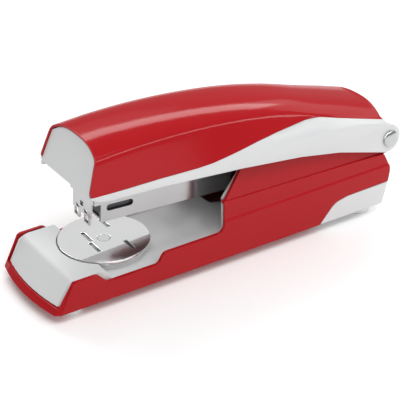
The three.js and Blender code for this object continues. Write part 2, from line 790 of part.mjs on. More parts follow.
// ---------------------------------------------------------------- arm
// Outer form of the arm by station along X: shoulder height and half width, rise of the crown above the
// shoulder, knee height and lower half width.
const shoulderZ = [
  [-52.1, 52.5], [-38, 53.4], [-22, 53.5], [-5, 52.6],
  [12, 50.6], [28, 47.3], [pinX - 20.6, 42.7], [pinX - 0.5, 37.0],
];
const shoulderHalf = [
  [-52.1, armHalf - 4.5],
  [-20, armHalf - 4.5],
  [12, armHalf - 4.9],
  [pinX - 24.6, armHalf - 5],
  [pinX - 0.5, armHalf - 4],
];
const crownRise = [
  [-52.1, 3.6], [-20, 3.4], [12, 3.2], [pinX - 24.6, 3.1], [pinX - 0.5, 3.7],
];
const crownPower = 2.8;
const kneeZ = [
  [-52.1, 41.5], [-16, 38], [1, 40], [26, 41], [pinX - 16.3, 39.5], [pinX - 0.5, 35.9],
];
const lowerHalf = [
  [-55, armHalf - 2.6], [-16, armHalf - 0.6], [1, armHalf], [28, armHalf], [pinX, armHalf],
];
const formFrontX = nosePlateX - 6.6;
const formRearX = pinX - 1.4;

// Solid of the arm's outer form, inset all round; a unit box is bent to the stations.
function armForm(inset, rearExtra = 0, bottomZ = 18) {
  const unit = new THREE.BoxGeometry(1, 2, 2, 22, 10, 2);
  const rear = formRearX - inset + rearExtra;
  return reshape(unit, (p) => {
    const x = formFrontX + (rear - formFrontX) * (p.x + 0.5);
    const shoulder = interpolate(shoulderZ, x) - inset;
    const knee = interpolate(kneeZ, x) - 0.3 * inset;
    const low = interpolate(lowerHalf, x) - inset;
    const high = interpolate(shoulderHalf, x) - inset * 0.85;
    const rise = interpolate(crownRise, x) + 0.15 * inset;
    const across = p.y;
    if (p.z < -0.5) {
      p.set(x, across * low, bottomZ);
    } else if (p.z < 0.5) {
      p.set(x, across * low, knee);
    } else {
      p.set(x, across * high, shoulder + rise * (1 - Math.abs(across) ** crownPower));
    }
  });
}

function armShell(outerInset, innerInset, rearExtra) {
  return solid(armForm(outerInset)).subtract(solid(armForm(innerInset, rearExtra, 10)));
}

// The cover's lower edge: level at the front, swept up behind the middle, then along the shoulder.
const coverEdge = [
  [-45, 41.2], [-30, 41.3], [-16, 41.1], [-10, 41.4], [-1.6, 42.6], [7.7, 44.0], [17.5, 45.0], [29, 45.4],
];

function coverSide(drop) {
  const rearEdge = [[pinX - 29.2, 44.6], [pinX - 20.6, 42.1], [pinX - 1.0, 36.8]];
  const edge = [...coverEdge, ...rearEdge].map(([x, z]) => [x, z + drop]);
  const frontX = nosePlateX - 0.5;
  return outline([
    [frontX + nosePlateRake * 1.2, 41.4 + drop],
    ...edge,
    [pinX + 6, 36.6 + drop],
    [pinX + 6, 75],
    [frontX + nosePlateRake * (75 - nosePlateZ), 75],
  ]);
}

// Lower edge of the arm's skirt, and the round rear end about the hinge.
function skirtShape() {
  const shape = new THREE.Shape();
  shape.moveTo(nosePlateX + 0.2, nosePlateZ + 0.4);
  shape.quadraticCurveTo(-52.5, 38.6, -47, 38.6);
  shape.lineTo(-30, 38.4);
  shape.lineTo(-16.1, 37.7);
  shape.lineTo(1.1, 36.6);
  shape.lineTo(25.4, 33.8);
  shape.lineTo(42.1, 30.7);
  shape.lineTo(armRearX - 1.4, pinZ - armRearRadius + 0.2);
  shape.absarc(armRearX, pinZ, armRearRadius, -1.84, 1.5, false);
  shape.lineTo(armRearX - 3, 60);
  shape.lineTo(nosePlateX + nosePlateRake * 20, 60);
  shape.closePath();
  return shape;
}

function rakedSlice(x0, x1, z0, z1) {
  const slice = box(x0, x1, -30, 30, z0, z1);
  return reshape(slice, (p) => {
    p.x += nosePlateRake * (p.z - nosePlateZ);
  });
}

// Flat cheek and round end of the arm about the hinge, on one side.
function armCheek(side) {
  const y0 = side > 0 ? cheekInner : -armHalf;
  const cheek = outline([
    [pinX - 12, pinZ - 1.6],
    [armRearX, pinZ - 3],
    [armRearX, pinZ + 4.5],
    [pinX - 12, pinZ + 5],
  ]);
  return [sidePlate(cheek, y0, y0 + armWall), drumY(armRearRadius, armRearX, pinZ, y0, y0 + armWall, 32)];
}

// One moulding: skirts, a lining under the cover's front half, the web, the nose plate and a rear bridge.
function armFrame() {
  const under = coverSheet + fineGap;
  const skirts = armShell(0, armWall, openRear)
    .intersect(solid(sidePlate(skirtShape(), -30, 30, 8)))
    .subtract(solid(sidePlate(coverSide(-fineGap), -30, 30)))
    .subtract(solid(box(pinX - 1.0, pinX + 9, -30, 30, 10, 70)));
  const lining = armShell(under, armWall + 1.2, openRear)
    .intersect(solid(box(-60, webRearX, -30, 30, nosePlateZ - 1, webZ + 1)));
  const web = solid(armForm(under + 0.2))
    .intersect(solid(box(nosePlateX + 3, webRearX, -30, 30, webZ, webZ + webThickness)));
  const plate = solid(armForm(under))
    .intersect(solid(rakedSlice(nosePlateX, nosePlateX + nosePlateThickness, nosePlateZ, 75)));
  const half = cheekInner + 0.4;
  const bridge = solid(armForm(0.3)).intersect(solid(box(
    bridgeFrontX, bridgeFrontX + bridgeLength, -half, half, rearBridgeZ, rearBridgeZ + rearBridgeThickness,
  )));
  const nose = solid(rakedSlice(nosePlateX - 14, nosePlateX, 20, 80));
  const cheeks = join([...armCheek(1), ...armCheek(-1)]);
  const frame = skirts.add(lining).add(web).add(bridge).subtract(nose).add(plate).add(cheeks);
  return cut(frame, [drumY(pinRadius + boreGap, pinX, pinZ, -30, 30)]);
}

function topCover() {
  return armShell(0, coverSheet, 0).intersect(solid(sidePlate(coverSide(0), -30, 30)));
}

// Steel block under the web that carries the driver blade.
function driverHolder() {
  const front = nosePlateX + nosePlateRake * (webZ - nosePlateZ) + nosePlateThickness + 0.4;
  const side = bladeHalfWidth + holderMargin;
  const block = box(front, front + holderLength, -side, side, webZ - gap - holderHeight, webZ - gap);
  const half = bladeHalfWidth + gap;
  const slot = box(bladeRearX - bladeThickness - gap, bladeRearX + gap, -half, half, -8, 18);
  slot.rotateY(magazineTilt);
  slot.translate(pinX, 0, pinZ);
  return cut(solid(block), [slot]);
}

function driverBlade() {
  const topZ = webZ - gap - 0.6 - pinZ - Math.sin(magazineTilt) * magazineLength;
  const bottomZ = crownTop + bladeLift;
  return box(bladeRearX - bladeThickness, bladeRearX, -bladeHalfWidth, bladeHalfWidth, bottomZ, topZ);
}

// Flat springs, drawn as a bent strip of constant thickness.
function leafSpring(points, halfWidth) {
  const lower = points.map(([x, z]) => [x, z]);
  const upper = points.map(([x, z]) => [x, z + leafThickness]).reverse();
  return solid(sidePlate(outline([...lower, ...upper]), -halfWidth, halfWidth));
}

function liftSpring() {
  const seatZ = rearTrayZ + gap;
  return leafSpring([[-7.6, 22.0], [-2.4, 17.2], [12, seatZ], [34, seatZ]], liftSpringHalf);
}

function armSpring() {
  const underside = rearBridgeZ - gap - leafThickness;
  return leafSpring([[12, 37.3], [16, 36.4], [40, underside], [49, underside]], magazineHalfWidth);
}

// ---------------------------------------------------------------- assembly
const base = new THREE.Group();
base.add(
  piece('base_shell', baseShell(), 'red'),
  piece('base_liner', baseLiner(), 'lightGrey'),
  piece('base_heel', baseHeel(), 'lightGrey'),
  piece('anvil_seat', anvilSeat(), 'steel'),
  piece('anvil_washer', anvilWasher(), 'darkSteel'),
  piece('anvil_pivot', anvilPivot(), 'steel'),
  piece('hinge_pin', hingePin(), 'steel'),
  piece('lift_spring', liftSpring(), 'darkSteel'),
);
for (const [name, x, y] of [
  ['foot_front_left', frontFootX, footY],
  ['foot_front_right', frontFootX, -footY],
  ['foot_rear_left', rearFootX, footY],
  ['foot_rear_right', rearFootX, -footY],
]) base.add(piece(name, foot(x, y), 'rubber'));
['liner_screw_front', 'liner_screw_rear'].forEach((name, i) => {
  base.add(piece(name, linerScrew(screwPlaces[i]), 'steel'));
});
for (const [side, sign] of [['left', 1], ['right', -1]]) {
  const spacer = hingeTube(pinRadius + spacerWall, sign, spacerInner, spacerOuter);
  const washer = hingeTube(pinRadius + washerWall, sign, washerInner, washerOuter);
  base.add(piece(`hinge_spacer_${side}`, spacer, 'steel'), piece(`hinge_washer_${side}`, washer, 'steel'));
}

const anvil = new THREE.Group();
anvil.add(piece('anvil_disc', anvilDisc(), 'steel'));

const magazine = new THREE.Group();
magazine.position.set(pinX, 0, pinZ);
magazine.rotation.y = magazineTilt;
magazine.add(
  piece('magazine_channel', magazineChannel(), 'steel'),
  piece('magazine_nose_plate', magazineNosePlate(), 'steel'),
  piece('magazine_core', magazineCore(), 'steel'),
  piece('magazine_bracket', magazineBracket(), 'steel'),
  piece('staple_strip', stapleStrip(), 'steel'),
  piece('follower', follower(), 'darkSteel'),
  piece('follower_rod', followerRod(), 'steel'),
  piece('follower_spring', followerSpring(), 'steel'),
);
for (const [side, sign] of [['left', 1], ['right', -1]]) {
  rivetPlaces.forEach((x, i) => {
    magazine.add(piece(`magazine_rivet_${side}_${i + 1}`, magazineRivet(x, sign), 'steel'));
  });
}

const arm = new THREE.Group();
arm.add(
  piece('arm_frame', armFrame(), 'lightGrey'),
  piece('top_cover', topCover(), 'red'),
  piece('driver_holder', driverHolder(), 'darkSteel'),
  piece('arm_spring', armSpring(), 'darkSteel'),
);
const bladeGroup = new THREE.Group();
bladeGroup.position.set(pinX, 0, pinZ);
bladeGroup.rotation.y = magazineTilt;
bladeGroup.add(piece('driver_blade', driverBlade(), 'steel'));
arm.add(bladeGroup);

// The origin is under the middle of the whole stapler.
const frontmost = noseCornerX - noseBow;
const rearmost = armRearX + armRearRadius;
const stapler = new THREE.Group();
stapler.position.x = -(frontmost + rearmost) / 2;
stapler.add(base, anvil, magazine, arm);

export default stapler;
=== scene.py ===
import math

import bmesh
import bpy
from mathutils import Matrix, Vector


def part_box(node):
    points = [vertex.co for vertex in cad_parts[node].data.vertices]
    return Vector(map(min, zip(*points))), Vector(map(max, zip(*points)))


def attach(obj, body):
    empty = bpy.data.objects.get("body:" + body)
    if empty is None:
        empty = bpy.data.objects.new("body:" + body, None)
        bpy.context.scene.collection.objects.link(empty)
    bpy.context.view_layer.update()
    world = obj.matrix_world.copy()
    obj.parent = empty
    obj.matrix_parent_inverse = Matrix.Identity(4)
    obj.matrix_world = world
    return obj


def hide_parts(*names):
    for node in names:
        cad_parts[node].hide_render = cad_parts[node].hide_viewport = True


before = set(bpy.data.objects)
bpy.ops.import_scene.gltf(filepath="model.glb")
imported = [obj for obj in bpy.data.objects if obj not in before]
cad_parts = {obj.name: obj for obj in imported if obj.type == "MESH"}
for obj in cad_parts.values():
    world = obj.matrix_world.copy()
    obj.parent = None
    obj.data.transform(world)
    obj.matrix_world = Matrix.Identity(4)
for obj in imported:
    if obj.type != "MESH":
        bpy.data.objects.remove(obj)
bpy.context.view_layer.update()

# ------------------------------------------------------------------ camera
# A long lens from the nose end and a little above, turned a touch about its own axis. It looks at the
# middle of the stapler from about half a metre away.
CAMERA_SPOT = Vector((-0.22585, -0.3486, 0.2506))
CAMERA_AIM = Vector((-0.00145, 0.0, 0.0167))
CAMERA_ROLL = math.radians(-0.47)
CAMERA_LENS = 122.9
SENSOR_WIDTH = 36.0
look = CAMERA_AIM - CAMERA_SPOT
turn = look.to_track_quat("-Z", "Y").to_matrix().to_4x4() @ Matrix.Rotation(CAMERA_ROLL, 4, "Z")
bpy.ops.object.camera_add(location=CAMERA_SPOT, rotation=turn.to_euler())
camera = bpy.context.object
camera.data.lens = CAMERA_LENS
camera.data.sensor_width = SENSOR_WIDTH
camera.data.clip_start = 0.01
bpy.context.scene.camera = camera

# ------------------------------------------------------------------ studio
# White paper on the table and a bright even room. A large softbox hangs over the near side, a long
# one behind makes the broad sheen on the cover, and a narrow one draws the bright lines on the edges.
ROOM_STRENGTH = 0.42
SOFTBOXES = {
    "softbox_over": {"spot": (-0.12, -0.42, 1.02), "size": (0.8, 0.5), "energy": 5.6},
    "softbox_behind": {"spot": (0.36, 0.74, 0.76), "size": (1.25, 0.24), "energy": 5.2},
    "softbox_rear": {"spot": (0.95, 0.40, 0.62), "size": (0.6, 0.34), "energy": 0.7},
    "card_behind": {"spot": (0.566, 1.135, 0.784), "size": (0.4, 0.26), "energy": 0.11},
    "strip_near": {"spot": (0.5, -0.62, 0.68), "size": (1.1, 0.12), "energy": 2.6},
}
PAPER_WHITE = (0.97, 0.97, 0.97, 1)
PAPER_SIZE = 8
PAPER_LIFT = 0.06
bpy.context.scene.view_settings.view_transform = "Standard"
world = bpy.data.worlds.new("studio")
bpy.context.scene.world = world
world.use_nodes = True
world.node_tree.nodes["Background"].inputs["Color"].default_value = (1, 1, 1, 1)
world.node_tree.nodes["Background"].inputs["Strength"].default_value = ROOM_STRENGTH
for box_name, box in SOFTBOXES.items():
    spot = Vector(box["spot"])
    towards = (-spot).to_track_quat("-Z", "Y").to_euler()
    bpy.ops.object.light_add(type="AREA", location=spot, rotation=towards)
    lamp = bpy.context.object
    lamp.name = box_name
    lamp.data.shape = "RECTANGLE"
    lamp.data.size, lamp.data.size_y = box["size"]
    lamp.data.energy = box["energy"]
    lamp.visible_camera = False
bpy.ops.mesh.primitive_plane_add(size=PAPER_SIZE)
floor = bpy.context.object
floor.name = "paper_floor"
paper = bpy.data.materials.new("paper")
paper.use_nodes = True
paper_sockets = paper.node_tree.nodes["Principled BSDF"].inputs
paper_sockets["Base Color"].default_value = PAPER_WHITE
paper_sockets["Emission Color"].default_value = (1, 1, 1, 1)
paper_sockets["Emission Strength"].default_value = PAPER_LIFT
paper_sockets["Roughness"].default_value = 0.9
paper_sockets["Specular IOR Level"].default_value = 0.1
floor.data.materials.append(paper)

# ------------------------------------------------------------------ base shell
# The base is one trough of sheet steel, lacquered red. Its tall side walls have a pressed step along
# the middle and a rounded ledge, above which the wall is set back. The liner is screwed into it.
MM = 0.001
MERGE_GAP = 0.002 * MM
FLAT_BEND = math.radians(0.8)
SHELL_EDGE = 0.42 * MM
STEP_FRONT_Z = 17.0 * MM
STEP_REAR_Z = 18.4 * MM
STEP_HEIGHT = 1.0 * MM
STEP_DEPTH = 0.5 * MM
STEP_CUTS = 6
LEDGE_FRONT = Vector((-3.75 * MM, 0, 25.4 * MM))
LEDGE_REAR = Vector((65.25 * MM, 0, 23.7 * MM))
LEDGE_ROUND = 0.42 * MM
LEDGE_CUTS = 4
LEDGE_WIDTH = 1.0 * MM
LACQUER_DEEP = (0.385, 0.005, 0.009, 1)
LACQUER_LIGHT = (0.425, 0.008, 0.012, 1)


class Wire:
    """A shader socket whose sums are written as Python."""

    def __init__(self, socket):
        self.socket = socket

    def node(self, kind, settings, values, output=0):
        made = self.socket.id_data.nodes.new("ShaderNode" + kind)
        for setting, choice in settings.items():
            setattr(made, setting, choice)
        for slot, value in values.items():
            if isinstance(value, Wire):
                self.socket.id_data.links.new(value.socket, made.inputs[slot])
            else:
                made.inputs[slot].default_value = value
        return Wire(made.outputs[output])

    def sum(self, operation, first, second):
        return self.node("Math", {"operation": operation}, {0: first, 1: second})

    def __add__(self, other):
        return self.sum("ADD", self, other)

    def __sub__(self, other):
        return self.sum("SUBTRACT", self, other)

    def __rsub__(self, other):
        return self.sum("SUBTRACT", other, self)

    def __mul__(self, other):
        return self.sum("MULTIPLY", self, other)

    __radd__ = __add__
    __rmul__ = __mul__

    def clamp(self):
        return self.node("Math", {"operation": "ADD", "use_clamp": True}, {0: self, 1: 0.0})

    def noise(self, scale, detail=2.0):
        return self.node("TexNoise", {}, {"Vector": self, "Scale": scale, "Detail": detail})

    def blend(self, amount, first, second):
        return self.node("Mix", {"data_type": "RGBA"}, {0: amount, 6: first, 7: second}, 2)

    def bump(self, height, strength, depth):
        return self.node("Bump", {}, {"Height": height, "Strength": strength, "Distance": depth})

    def feed(self, shader, slot):
        self.socket.id_data.links.new(self.socket, shader.inputs[slot])


def start_finish(name, constants):
    material = bpy.data.materials.new(name)
    material.use_nodes = True
    shader = material.node_tree.nodes["Principled BSDF"]
    for slot, value in constants.items():
        shader.inputs[slot].default_value = value
    place = Wire(material.node_tree.nodes.new("ShaderNodeTexCoord").outputs["Object"])
    return material, shader, place


def make_lacquer():
    constants = {"Coat Weight": 0.45, "Coat Roughness": 0.12, "Specular IOR Level": 0.0}
    material, shader, place = start_finish("red_lacquer", constants)
    place.blend(place.noise(22, 3), LACQUER_DEEP, LACQUER_LIGHT).feed(shader, "Base Color")
    (0.26 + 0.14 * place.noise(320, 3)).feed(shader, "Roughness")
    place.bump(place.noise(1500, 3), 0.10, 0.00006).feed(shader, "Normal")
    return material


def only(piece):
    bpy.ops.object.select_all(action="DESELECT")
    bpy.context.view_layer.objects.active = piece
    piece.select_set(True)


def apply_modifier(piece, kind, settings):
    only(piece)
    modifier = piece.modifiers.new(kind.lower(), kind)
    for setting, choice in settings.items():
        setattr(modifier, setting, choice)
    bpy.ops.object.modifier_apply(modifier=modifier.name)


def worked_copy(node, name):
    """A merged copy of a CAD node's mesh, cleared of the flat faces' inner edges."""
    piece = bpy.data.objects.new(name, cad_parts[node].data.copy())
    bpy.context.scene.collection.objects.link(piece)
    piece.data.materials.clear()
    only(piece)
    bpy.ops.object.mode_set(mode="EDIT")
    bpy.ops.mesh.select_all(action="SELECT")
    bpy.ops.mesh.remove_doubles(threshold=MERGE_GAP)
    bpy.ops.mesh.dissolve_limited(angle_limit=FLAT_BEND)
    bpy.ops.object.mode_set(mode="OBJECT")
    return piece


def round_edges(piece, width, angle=34, segments=3, smooth=42):
    """Rounds the edges sharper than the angle and keeps the flats flat."""
    apply_modifier(piece, "BEVEL", {
        "width": width, "segments": segments, "limit_method": "ANGLE",
        "angle_limit": math.radians(angle), "use_clamp_overlap": True,
    })
    only(piece)
    bpy.ops.object.shade_smooth_by_angle(angle=math.radians(smooth))
    if smooth < 60:
        apply_modifier(piece, "WEIGHTED_NORMAL", {"keep_sharp": True, "weight": 60})


def dress(piece, node, body, material):
    piece.data.materials.append(material)
    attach(piece, body)
    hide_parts(node)


red_lacquer = make_lacquer()
shell = worked_copy("base_shell", "base_shell_pressed")
shell_low, shell_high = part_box("base_shell")
shell_length = shell_high.x - shell_low.x
step_slope = (STEP_REAR_Z - STEP_FRONT_Z) / shell_length
ledge_slope = (LEDGE_REAR.z - LEDGE_FRONT.z) / (LEDGE_REAR.x - LEDGE_FRONT.x)
cuts = [(shell_low.x, STEP_FRONT_Z + STEP_HEIGHT * i / STEP_CUTS, step_slope) for i in range(STEP_CUTS + 1)]
for i in range(LEDGE_CUTS):
    cut_z = LEDGE_FRONT.z - LEDGE_ROUND * (1 - math.sin(math.pi / 2 * i / LEDGE_CUTS))
    cuts.append((LEDGE_FRONT.x, cut_z, ledge_slope))
only(shell)
bpy.ops.object.mode_set(mode="EDIT")
for cut_x, cut_z, slope in cuts:
    bpy.ops.mesh.select_all(action="SELECT")
    bpy.ops.mesh.bisect(plane_co=(cut_x, 0, cut_z), plane_no=(-slope, 0, 1), threshold=MERGE_GAP / 2)
bpy.ops.object.mode_set(mode="OBJECT")
for vertex in shell.data.vertices:
    height = vertex.co.z - STEP_FRONT_Z - step_slope * (vertex.co.x - shell_low.x)
    share = min(max(height / STEP_HEIGHT, 0.0), 1.0)
    above = vertex.co.z - LEDGE_FRONT.z - ledge_slope * (vertex.co.x - LEDGE_FRONT.x) + LEDGE_ROUND
    turned = min(max(above, 0.0), LEDGE_ROUND)
    shift = STEP_DEPTH * share * share * (3 - 2 * share)
    shift += LEDGE_ROUND - math.sqrt(LEDGE_ROUND ** 2 - turned ** 2)
    outer = min(max((abs(vertex.co.y) - shell_high.y + LEDGE_WIDTH) / (0.5 * LEDGE_WIDTH), 0.0), 1.0)
    vertex.co.y -= math.copysign(shift * outer, vertex.co.y)
round_edges(shell, SHELL_EDGE)
dress(shell, "base_shell", "base", red_lacquer)

# ------------------------------------------------------------------ base liner
# A light grey moulding that lies in the trough: nose deck, tray round the anvil, and the two walls
# beside the magazine. It is injection-moulded with a fine satin grain and screwed from below.
LINER_EDGE = 0.28 * MM
RIDGE_ROUND = 1.3 * MM
RIDGE_LEVEL = 0.06 * MM
RIDGE_BENDS = (math.radians(20), math.radians(80))
DECK_Z = 13.9 * MM
DECK_REAR_X = -0.056
GREY_DARK = (0.65, 0.655, 0.66, 1)
GREY_LIGHT = (0.69, 0.695, 0.70, 1)


def make_moulding():
    material, shader, place = start_finish("grey_moulding", {"Specular IOR Level": 0.5})
    place.blend(place.noise(35, 4), GREY_DARK, GREY_LIGHT).feed(shader, "Base Color")
    (0.34 + 0.16 * place.noise(600, 3)).feed(shader, "Roughness")
    place.bump(place.noise(3200, 2), 0.14, 0.00003).feed(shader, "Normal")
    return material


def round_picked(piece, picked, width, segments):
    """Rounds the edges that a rule picks by the places of their two ends and their angle."""
    only(piece)
    bpy.ops.object.mode_set(mode="EDIT")
    bpy.ops.mesh.select_mode(type="EDGE")
    bpy.ops.mesh.select_all(action="DESELECT")
    mesh = bmesh.from_edit_mesh(piece.data)
    for edge in mesh.edges:
        bend = edge.calc_face_angle(0.0)
        edge.select = picked(edge.verts[0].co, edge.verts[1].co, bend)
    mesh.select_flush_mode()
    bmesh.update_edit_mesh(piece.data)
    bpy.ops.mesh.bevel(offset=width, segments=segments, affect="EDGES")
    bpy.ops.mesh.select_mode(type="VERT")
    bpy.ops.object.mode_set(mode="OBJECT")


def on_nose_ridge(a, b, bend):
    level = max(abs(a.z - DECK_Z), abs(b.z - DECK_Z)) < RIDGE_LEVEL
    return level and max(a.x, b.x) < DECK_REAR_X and RIDGE_BENDS[0] < bend < RIDGE_BENDS[1]


grey_moulding = make_moulding()
liner = worked_copy("base_liner", "base_liner_moulded")
round_picked(liner, on_nose_ridge, RIDGE_ROUND, 5)
round_edges(liner, LINER_EDGE)
dress(liner, "base_liner", "base", grey_moulding)

# ------------------------------------------------------------------ base heel
# The grey skid under the rear of the base, moulded in the liner's resin. It closes the underside and
# is clipped round the bottom of the red walls.
HEEL_EDGE = 0.35 * MM
heel = worked_copy("base_heel", "base_heel_moulded")
round_edges(heel, HEEL_EDGE)
dress(heel, "base_heel", "base", grey_moulding)

# ------------------------------------------------------------------ feet
# Four round feet of clear, slightly milky rubber, moulded with a stem. The stems are pushed into
# holes in the base and in the heel.
FOOT_EDGE = 0.6 * MM
RUBBER_COLD = (0.78, 0.80, 0.80, 1)
RUBBER_WARM = (0.86, 0.87, 0.86, 1)


def make_rubber():
    constants = {"Subsurface Weight": 0.25, "Subsurface Scale": 0.002, "Specular IOR Level": 0.45}
    material, shader, place = start_finish("clear_rubber", constants)
    place.blend(place.noise(400, 3), RUBBER_COLD, RUBBER_WARM).feed(shader, "Base Color")
    (0.38 + 0.2 * place.noise(900, 3)).feed(shader, "Roughness")
    place.bump(place.noise(1800, 2), 0.2, 0.00005).feed(shader, "Normal")
    return material


clear_rubber = make_rubber()
for node in ("foot_front_left", "foot_front_right", "foot_rear_left", "foot_rear_right"):
    foot = worked_copy(node, node + "_rubber")
    round_edges(foot, FOOT_EDGE, angle=50, segments=4)
    dress(foot, node, "base", clear_rubber)

# ------------------------------------------------------------------ anvil
# A polished nickel-plated disc with two pairs of staple formers, whose sunk grooves get painted shade.
# It turns on a domed rivet over a sprung seat plate, which shows as a second bright rim under it.
DISC_EDGE = 0.14 * MM
GROOVE_START = 0.12 * MM
GROOVE_FADE = 0.1 * MM
GROOVE_REACH = 14.6 * MM
# Painted shade: the dark colour laid into the disc's sunk grooves.
GROOVE_PAINTED_SHADE = (0.16, 0.16, 0.165, 1)
MIRROR_DARK = (0.84, 0.845, 0.85, 1)
MIRROR_LIGHT = (0.90, 0.90, 0.90, 1)
PLATE_DARK = (0.70, 0.71, 0.72, 1)
PLATE_LIGHT = (0.80, 0.805, 0.81, 1)


def make_plate(name, stretch, roughest, smoothest, dark=PLATE_DARK, light=PLATE_LIGHT):
    """Bright plating with faint polishing lines along the direction that is stretched least."""
    material, shader, place = start_finish(name, {"Metallic": 1.0})
    lines = place.node("Mapping", {}, {"Vector": place, "Scale": stretch}).noise(1, 4)
    cloud = place.noise(60, 3)
    place.blend(cloud, dark, light).feed(shader, "Base Color")
    (smoothest + (roughest - smoothest) * lines).feed(shader, "Roughness")
    place.bump(lines, 0.06, 0.00002).feed(shader, "Normal")
    return material


def make_disc_plate(centre, top_z):
    """Mirror plating whose sunk grooves, inside the rim, are painted dark as shade."""
    material, shader, place = start_finish("bright_plate_disc", {"Metallic": 1.0})
    height = place.node("SeparateXYZ", {}, {"Vector": place}, 2)
    reach = place.node("VectorMath", {"operation": "DISTANCE"}, {0: place, 1: centre}, 1)
    # Painted shade mask: darkens the sunk grooves, below the disc's top and inside its rim.
    below = ((top_z - GROOVE_START - height) * (1 / GROOVE_FADE)).clamp()
    inside = ((GROOVE_REACH - reach) * (1 / GROOVE_FADE)).clamp()
    haze = place.noise(90, 4)
    plain = place.blend(haze, MIRROR_DARK, MIRROR_LIGHT)
    plain.blend(below * inside, plain, GROOVE_PAINTED_SHADE).feed(shader, "Base Color")
    (0.035 + 0.035 * haze + 0.25 * (below * inside)).feed(shader, "Roughness")
    return material


disc_low, disc_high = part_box("anvil_disc")
disc_centre = ((disc_low.x + disc_high.x) / 2, 0.0, disc_high.z)
disc = worked_copy("anvil_disc", "anvil_disc_polished")
round_edges(disc, DISC_EDGE, segments=2)
dress(disc, "anvil_disc", "anvil", make_disc_plate(disc_centre, disc_high.z))
disc_plate = make_plate("bright_plate_turned", (500, 500, 500), 0.12, 0.05)
seat = worked_copy("anvil_seat", "anvil_seat_plate")
round_edges(seat, DISC_EDGE * 2)
dress(seat, "anvil_seat", "base", disc_plate)
pivot = worked_copy("anvil_pivot", "anvil_pivot_rivet")
round_edges(pivot, DISC_EDGE * 0.5)
dress(pivot, "anvil_pivot", "base", disc_plate)

# ------------------------------------------------------------------ small steel pieces
# Spring washer, liner screws, hinge spacers and washers, rivets, the staple driver and its holder and
# the follower: bare or oiled steel, stamped or turned, with edges just broken.
STEEL_EDGE = 0.12 * MM
STEEL_DARK = (0.36, 0.37, 0.39, 1)
STEEL_LIGHT = (0.50, 0.51, 0.53, 1)
STEEL_PIECES = {
    "base": (
        "anvil_washer", "liner_screw_front", "liner_screw_rear", "hinge_spacer_left", "hinge_spacer_right",
        "hinge_washer_left", "hinge_washer_right", "lift_spring",
    ),
    "magazine": (
        "magazine_rivet_left_1", "magazine_rivet_left_2",
        "magazine_rivet_right_1", "magazine_rivet_right_2",
    ),
    "follower": ("follower",),
    "arm": ("driver_holder", "driver_blade", "arm_spring"),
}


def make_steel():
    material, shader, place = start_finish("spring_steel", {"Metallic": 1.0})
    grain = place.node("Mapping", {}, {"Vector": place, "Scale": (150, 2200, 2200)}).noise(1, 4)
    place.blend(grain, STEEL_DARK, STEEL_LIGHT).feed(shader, "Base Color")
    (0.22 + 0.2 * grain).feed(shader, "Roughness")
    place.bump(grain, 0.1, 0.00003).feed(shader, "Normal")
    return material


spring_steel = make_steel()
for body, nodes in STEEL_PIECES.items():
    for node in nodes:
        small = worked_copy(node, node + "_steel")
        round_edges(small, STEEL_EDGE, segments=2)
        dress(small, node, body, spring_steel)
spring_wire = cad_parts["follower_spring"]
spring_wire.data.materials.clear()
spring_wire.data.materials.append(spring_steel)

# ------------------------------------------------------------------ magazine
# A folded channel of bright-plated sheet, with its core, rear bracket, guide rod and the slotted nose
# plate that the staples leave through. Plated after folding, so the folds are smooth.
MAGAZINE_EDGE = 0.16 * MM
FOLDED_DARK = (0.44, 0.445, 0.45, 1)
FOLDED_LIGHT = (0.56, 0.565, 0.57, 1)
magazine_plate = make_plate("bright_plate_folded", (60, 2600, 2600), 0.26, 0.12, FOLDED_DARK, FOLDED_LIGHT)
for node in ("magazine_channel", "magazine_nose_plate", "magazine_bracket", "follower_rod"):
    folded = worked_copy(node, node + "_plated")
    round_edges(folded, MAGAZINE_EDGE, segments=2)
    dress(folded, node, "magazine", magazine_plate)

# ------------------------------------------------------------------ staples and core
# The glued row of staples rides on the inner rail. Both sit deep in the channel, and their colour is
# painted near-black as the shade seen through its windows. The staples' wires show as fine ribs across the
# row.
# Painted shade: near-black colours standing in for the shade deep inside the magazine channel.
CHANNEL_SHADE_DARK = (0.055, 0.055, 0.06, 1)
CHANNEL_SHADE_LIGHT = (0.13, 0.13, 0.14, 1)
WIRE_PITCH = 0.5 * MM


def make_channel_shade(name, ribs):
    material, shader, place = start_finish(name, {"Metallic": 0.7})
    mottle = place.noise(500, 3)
    # Painted shade colour of the staples and core, mottled at random between the two darks.
    place.blend(mottle, CHANNEL_SHADE_DARK, CHANNEL_SHADE_LIGHT).feed(shader, "Base Color")
    (0.3 + 0.2 * mottle).feed(shader, "Roughness")
    across = place.node("SeparateXYZ", {}, {"Vector": place})
    wave = across.sum("SINE", across * (2 * math.pi / WIRE_PITCH), 0.0) if ribs else mottle
    place.bump(wave, 0.35 if ribs else 0.1, 0.00008).feed(shader, "Normal")
    return material


for node, ribs in (("magazine_core", False), ("staple_strip", True)):
    inside = worked_copy(node, node + "_shade_painted")
    round_edges(inside, MAGAZINE_EDGE, segments=2)
    dress(inside, node, "magazine", make_channel_shade("bright_plate_" + node, ribs))

# ------------------------------------------------------------------ arm frame
# The grey moulding that carries the cover: skirts, nose plate and the flat cheeks that turn on the
# hinge pin. It has the same resin and grain as the liner.
ARM_EDGE = 0.3 * MM
arm = worked_copy("arm_frame", "arm_frame_moulded")
round_edges(arm, ARM_EDGE, angle=62, smooth=64)
dress(arm, "arm_frame", "arm", grey_moulding)

# ------------------------------------------------------------------ top cover
# The long red cover, pressed from sheet steel and lacquered: straight sides, a soft shoulder line and
# a crowned roof, with its rim rolled. It is clipped over the arm frame.
COVER_SHEET = 0.9 * MM
COVER_RIM = 0.24 * MM
